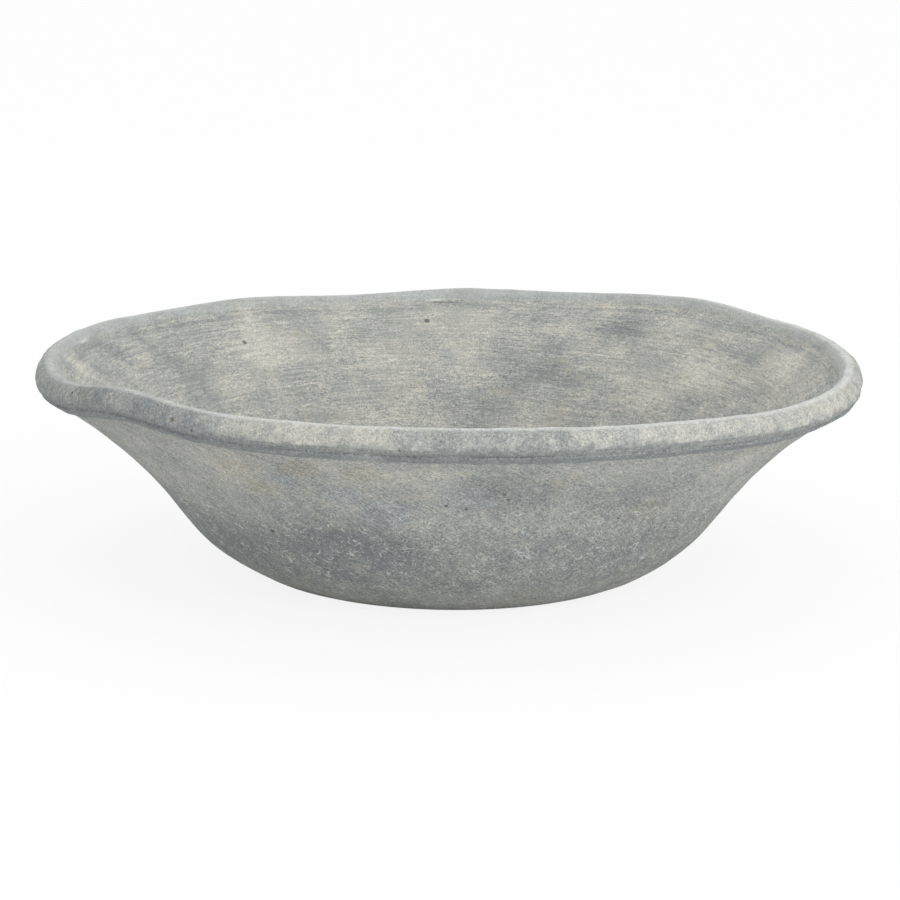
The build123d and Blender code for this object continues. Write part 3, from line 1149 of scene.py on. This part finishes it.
def rim_clay():
    """Clay of the roll: smooth pale inner face partly painted highlight, painted highlight on the crest,
    blotched grainy belly, dark underside partly painted shade.
    """
    finish = Finish("rim clay")
    turned = finish.skin
    worn = turned + finish.place.noise(0.009, 3.0, 0.7) * 0.018
    lighter_in, _ = inside_wash(finish)
    dabs = finish.place.noise(0.0045, 3.0, 0.65, 0.2)
    smears = finish.brushed(0.012, 0.0042, 4.0, roughness=0.68)
    clouds = finish.clouds((0.045, 3.0, 0.6, 0.3, 0.26), (0.014, 4.0, 0.65, 0.0, 0.36))
    lighter = clouds + smears * 0.34 + dabs * 0.28 + finish.grain * 0.70 + 0.06
    for bearing, reach, lift in rim_tones:
        lighter = finish.facing(bearing, reach) * lift + lighter
    belly = turned.cut(0.24, 0.34)
    lighter = lighter_in + (lighter - lighter_in) * belly
    colour = stained(finish, wash(finish, lighter), 1.2)
    cloud = finish.place.noise(0.018, 3.0, 0.6)
    # the wiped inner face is paler clay, and on the far rim this pale band also serves as a painted highlight
    wiped_and_highlight = (turned + cloud * 0.030).cut(0.02, 0.15) * worn.cut(0.44, 0.34) * (cloud * 0.28 + 0.55)
    pale = shade(tone(173, 178, 179), cloud * 0.06 + finish.grain * 0.08 + 1.0)
    colour = blend(wiped_and_highlight, colour, pale)
    bloom = finish.place.noise(0.0060, 4.0, 0.72) + finish.place.noise(0.030, 2.0) * 0.7 + smears * 0.4
    colour = blend(bloom.cut(0.35, 1.3) * belly * 0.55, colour, tone(214, 212, 204))
    # painted highlight: a pale chalky line along the crest, weaker at the left end and on the far side
    crest = worn.cut(0.25, 0.32) * worn.cut(0.44, 0.37) * (cloud * 0.22 + smears * 0.20 + 0.80)
    crest = crest * (1.0 - finish.facing(190.0, 60.0) * 0.6) * (1.0 - finish.facing(100.0, 80.0) * 0.5)
    colour = blend(crest * (finish.grain * 0.28 + 0.58), colour, chalk_and_highlight)
    scar = (finish.place.noise(0.014, 4.0, 0.7, 0.3) + smears * 0.6 + finish.grain * 0.3).cut(0.50, 1.15)
    dark = wash(finish, dabs * 0.3 + finish.grain * 0.4 - 0.55)
    colour = blend(scar * belly * (1.0 - crest) * 0.72, colour, dark)
    grains = finish.clouds((0.0026, 3.0, 0.7, 0.0, 1.0), (0.022, 3.0, 0.6, 0.0, 0.7)).cut(0.55, 1.0)
    colour = blend(grains * belly * 0.55, colour, tone(222, 218, 207))
    # painted shade: the underside of the roll gets a dark wash, partly its real colour and partly shade
    ragged = finish.place.noise(0.010, 4.0, 0.75) * 0.11 + finish.grain * 0.05
    under = (turned + ragged).cut(0.60, 0.72)
    colour = blend(under * 0.82, colour, wash(finish, dabs * 0.35 + finish.grain * 0.6 - 0.74))
    colour = add_lines(finish, colour, rim_ridge_highlights_and_shade)
    colour = shade(colour, finish.speck * 0.18 + 1.0)
    dust = finish.pits(0.014, 0.4, 0.0011, 3.0) + finish.pits(0.05, 0.4, 0.0018, 4.0)
    colour = blend(dust.math("MINIMUM", 1.0) * dust_share, colour, soot_and_shade_grey)
    colour, holes = add_pits(finish, colour, rim_marks)
    height = finish.grain * 0.30 + finish.speck * 0.14 + dabs * 0.2 + grains * 0.4
    height = (height + bloom.cut(0.2, 1.2) * 0.5) * (1.0 - wiped_and_highlight * 0.7)
    return finish.done(colour, 0.88, height - holes - dust * 0.5)


rim = rim_clay()
print("rim clay", len(rim.node_tree.nodes), "nodes")

# %% [markdown]
# ## Band clay
# The smeared strip held more of the slate wash and less of the chalky white, and it also carries painted
# shade from the roll above, so it reads as a darker line under the roll, broken by pale grains and by one
# place where the wash was wiped through.


# %% Band clay
def band_clay():
    """Darker, bluer clay of the smeared strip, partly its slate wash and partly painted shade under the roll.
    """
    finish = Finish("band clay")
    dabs = finish.place.noise(0.0045, 3.0, 0.65, 0.4)
    # painted shade: the whole strip is made darker, partly its slate wash and partly shade under the roll
    lighter = finish.clouds((0.020, 4.0, 0.65, 0.4, 0.30)) + dabs * 0.36 + finish.grain * 0.70 - 0.62
    lighter = finish.facing(259.5, 3.5) * 0.55 + lighter
    lower = (finish.skin + finish.place.noise(0.008, 3.0, 0.6) * 0.10).cut(0.22, 0.0)
    colour = wash(finish, lighter + lower * 0.35)
    colour = blend(0.30, colour, tone(134, 141, 145))
    grains = finish.clouds((0.0026, 3.0, 0.7, 0.0, 1.0), (0.018, 3.0, 0.6, 0.0, 0.8)).cut(0.50, 1.0)
    colour = blend(grains * 0.55, colour, tone(196, 196, 190))
    colour = shade(colour, finish.speck * 0.20 + finish.grain * 0.14 + 1.0)
    height = finish.grain * 0.3 + finish.speck * 0.12 + dabs * 0.3 + grains * 0.4
    return finish.done(colour, 0.88, height)


band = band_clay()
print("band clay", len(band.node_tree.nodes), "nodes")

# %% [markdown]
# ## Turning the sections into pieces
# A section mesh is only a row of points with weights. The modifier makes the ring from it, the result is
# copied to a plain mesh, and the modifier goes, so the piece rides on the frame as a plain object.


# %% Make the four pieces
def placed(name, data):
    """Object that holds some data, put in the scene."""
    made = bpy.data.objects.new(name, data)
    bpy.context.scene.collection.objects.link(made)
    return made


def section_object(name, spots):
    """Mesh object that holds a section's spots and weights."""
    mesh = bpy.data.meshes.new(name + " section")
    places = [(each["radius"] * MM, 0.0, each["level"] * MM) for each in spots]
    mesh.from_pydata(places, [(step, step + 1) for step in range(len(places) - 1)], [])
    for weight in weight_names:
        layer = mesh.attributes.new(weight, "FLOAT", "POINT")
        layer.data.foreach_set("value", [each[weight] for each in spots])
    return placed(name, mesh)


def clay_ring(name, spots, steps, clay, sharp_degrees, node):
    """Piece made by the ring tree from a section, riding on the root body in place of a CAD node."""
    piece = section_object(name, spots)
    modifier = piece.modifiers.new("Clay ring", "NODES")
    modifier.node_group = ring_tree
    modifier[steps_input.identifier] = steps
    modifier[clay_input.identifier] = clay
    modifier[sharp_input.identifier] = math.radians(sharp_degrees)
    graph = bpy.context.evaluated_depsgraph_get()
    finished = piece.evaluated_get(graph)
    made = bpy.data.meshes.new_from_object(finished, preserve_all_data_layers=True, depsgraph=graph)
    made.name = name
    piece.modifiers.clear()
    piece.data = made
    shell = bmesh.new()
    shell.from_mesh(made)
    volume = shell.calc_volume(signed=True)
    if volume < 0.0:
        bmesh.ops.reverse_faces(shell, faces=shell.faces)
        shell.to_mesh(made)
    open_edges = sum(1 for edge in shell.edges if len(edge.link_faces) != 2)
    triangles = sum(len(face.verts) - 2 for face in shell.faces)
    shell.free()
    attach(piece, "root")
    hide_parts(node)
    low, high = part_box(node)
    corners = [Vector(corner) for corner in piece.bound_box]
    new_low = Vector(min(corner[axis] for corner in corners) for axis in range(3))
    new_high = Vector(max(corner[axis] for corner in corners) for axis in range(3))
    past = [round(value / MM, 1) for value in (*(new_low - low), *(new_high - high))]
    print(name, triangles, "triangles,", open_edges, "open edges,", round(abs(volume) * 1e6, 1), "cm3")
    print("  past the CAD node in mm", past)


clay_ring("slab_clay", slab_section(), 480, washed, 50.0, "base_slab")
clay_ring("wall_clay", wall_section(), 480, washed, 60.0, "bowl_wall")
clay_ring("roll_clay", roll_section(), 960, rim, 55.0, "rim_roll")
clay_ring("band_clay", band_section(), 960, band, 50.0, "rim_band")

# %% [markdown]
# ## Camera
# The bowl was photographed from a little above and fairly close. The camera's place and its long lens come
# from fitting the bowl's outline, with a turn of less than a degree round the line of sight.

# %% Camera
camera_place = Vector((0.0, -1.7411, 0.45676))
camera_target = Vector((0.0, 0.0, 0.0779))
camera_lens = 103.13
camera_roll = 0.65
film_width = 36.0


def make_camera():
    """Camera that looks from its place to its target, rolled a little."""
    data = bpy.data.cameras.new("camera")
    data.lens = camera_lens
    data.sensor_width = film_width
    data.clip_end = 50.0
    made = placed("camera", data)
    ahead = (camera_target - camera_place).normalized()
    right = ahead.cross(Vector((0.0, 0.0, 1.0))).normalized()
    up = right.cross(ahead)
    turn = math.radians(camera_roll)
    rolled_right = right * math.cos(turn) + up * math.sin(turn)
    rolled_up = up * math.cos(turn) - right * math.sin(turn)
    axes = Matrix((rolled_right, rolled_up, -ahead)).transposed()
    made.matrix_world = Matrix.Translation(camera_place) @ axes.to_4x4()
    bpy.context.scene.camera = made


make_camera()
print("camera at", tuple(camera_place))

# %% [markdown]
# ## Floor
# The bowl stands on a white sheet. The camera sees the sheet nearly white with a faint shadow, while all
# other light meets a plain pale sheet, which throws a natural amount back onto the underside of the bowl. A
# Light Path node tells the two apart.

# %% Floor
floor_size = 30.0
floor_white = 0.86          # share of plain white in what the camera sees
floor_bounce = 0.90


def seen_directly(bench):
    """1 for what the camera sees, straight or in a reflection."""
    path = bench.node("ShaderNodeLightPath", output="Is Camera Ray")
    return (path + path.other("Is Glossy Ray") + path.other("Is Transmission Ray")).math("MINIMUM", 1.0)


def make_floor():
    """Large white floor."""
    mesh = bpy.data.meshes.new("floor")
    shell = bmesh.new()
    bmesh.ops.create_grid(shell, x_segments=1, y_segments=1, size=floor_size)
    shell.to_mesh(mesh)
    shell.free()
    material = bpy.data.materials.new("white floor")
    bench = cleared(material)
    pale = (floor_bounce, floor_bounce, floor_bounce, 1.0)
    plain = bench.node("ShaderNodeBsdfDiffuse", None, {"Color": pale})
    glow = bench.node("ShaderNodeEmission", None, {"Color": (1.0, 1.0, 1.0, 1.0), "Strength": 1.0})
    backdrop = bench.node("ShaderNodeMixShader", None, {0: floor_white, 1: plain, 2: glow})
    mixed = bench.node("ShaderNodeMixShader", None, {0: seen_directly(bench), 1: plain, 2: backdrop})
    mixed.end("ShaderNodeOutputMaterial")
    mesh.materials.append(material)
    placed("floor", mesh)


make_floor()
print("floor made")

# %% [markdown]
# ## Light
# The photograph has soft studio light. An even white sky lights every side, and one large square lamp at the
# right front makes the right side lighter and the left end darker, as they are on the real bowl.

# %% Light
sky_strength = 1.0
key_place = Vector((1.4, -1.7, 1.1))
key_size = 1.6
key_power = 19.0


def make_world():
    """Even white sky, shown as plain white behind the object."""
    world = bpy.data.worlds.new("studio")
    bench = cleared(world)
    white = (1.0, 1.0, 1.0, 1.0)
    sky = bench.node("ShaderNodeBackground", None, {"Color": white, "Strength": sky_strength})
    shown = bench.node("ShaderNodeBackground", None, {"Color": white, "Strength": 1.0})
    mixed = bench.node("ShaderNodeMixShader", None, {0: seen_directly(bench), 1: sky, 2: shown})
    mixed.end("ShaderNodeOutputWorld")
    bpy.context.scene.world = world


def make_lamp(name, place, size, power):
    """Square soft lamp that points at the bowl."""
    data = bpy.data.lights.new(name, "AREA")
    data.energy = power
    data.size = size
    made = placed(name, data)
    made.location = place
    made.rotation_mode = "QUATERNION"
    made.rotation_quaternion = (camera_target - place).to_track_quat("-Z", "Y")


make_world()
make_lamp("key", key_place, key_size, key_power)
bpy.context.scene.view_settings.view_transform = "Standard"
print("key lamp", key_power, "W")
